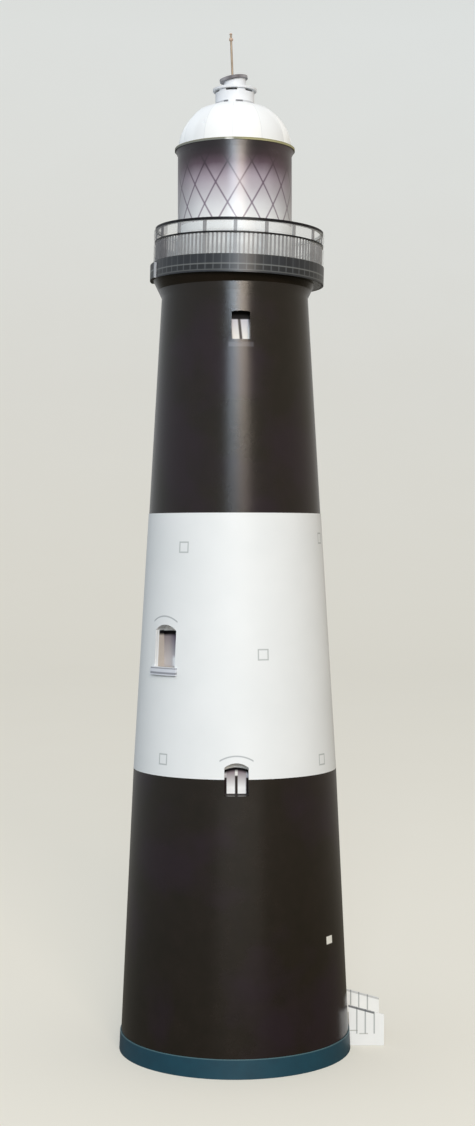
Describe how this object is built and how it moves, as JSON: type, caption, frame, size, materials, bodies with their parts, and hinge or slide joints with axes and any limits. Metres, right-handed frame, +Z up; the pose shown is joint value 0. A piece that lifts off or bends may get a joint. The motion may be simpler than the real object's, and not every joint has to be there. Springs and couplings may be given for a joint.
{
  "type": "card scale model of a lighthouse",
  "caption": "Printed card scale model of a tall tapering round lighthouse with black and white bands, railed gallery, domed lantern and entrance steps; it stands on its flat foot.",
  "frame": {"origin": "the tower's axis on the underside of its foot", "axes": "+Z up along the tower; -Y towards the side with the front windows; +X towards the entrance steps"},
  "size_m": [0.0426, 0.0372, 0.1625],
  "materials": {
    "card_black": "satin printed black card",
    "card_white": "satin printed white card",
    "card_plain": "plain unprinted grey-white card",
    "band_teal": "printed dark teal paper strip",
    "fascia_print": "printed dark grey strip with a dentil row",
    "railing_clear": "clear glossy film",
    "rail_black": "printed black strip",
    "rail_grey": "printed grey strip",
    "glazing_print": "printed lantern glazing with a diamond lattice",
    "window_print": "printed window panes",
    "steps_print": "printed white card with a grey railing",
    "door_print": "printed teal door",
    "cowl_grey": "printed grey card",
    "rod_copper": "bare copper-coloured wire"
  },
  "bodies": {
    "root": {"base_disc": "card_plain", "plinth_band": "band_teal", "lower_wall": "card_black", "middle_wall": "card_white", "upper_wall": "card_black", "gallery_corbel": "card_black", "gallery_soffit": "card_black", "gallery_fascia": "fascia_print", "gallery_deck": "card_plain", "fascia_flap": "fascia_print", "railing_film": "railing_clear", "gallery_posts": "rail_grey", "gallery_balusters": "rail_grey", "gallery_mid_rail": "rail_black", "gallery_top_rail": "rail_black", "lantern_murette": "card_white", "lantern_glazing": "glazing_print", "lantern_cornice": "glazing_print", "lantern_eave": "card_white", "lantern_dome": "card_white", "ventilator_drum": "card_white", "ventilator_flange": "card_white", "cowl_drum": "card_white", "cowl_cap": "cowl_grey", "lightning_rod": "rod_copper", "rod_bead": "rod_copper", "rod_tip": "rod_copper", "door_reveal": "card_white", "door_leaf": "door_print", "entrance_steps": "card_plain", "steps_railing_near": "steps_print", "steps_railing_far": "steps_print", "upper_front_window_reveal": "card_black", "upper_front_window_pane": "window_print", "middle_front_window_reveal": "card_white", "middle_front_window_pane": "window_print", "lower_front_window_reveal": "card_white", "lower_front_window_pane": "window_print", "middle_front_window_sill": "card_white", "upper_back_window_reveal": "card_black", "upper_back_window_pane": "window_print", "middle_back_window_reveal": "card_white", "middle_back_window_pane": "window_print", "lower_back_window_reveal": "card_white", "lower_back_window_pane": "window_print", "middle_back_window_sill": "card_white"}
  },
  "joints": []
}
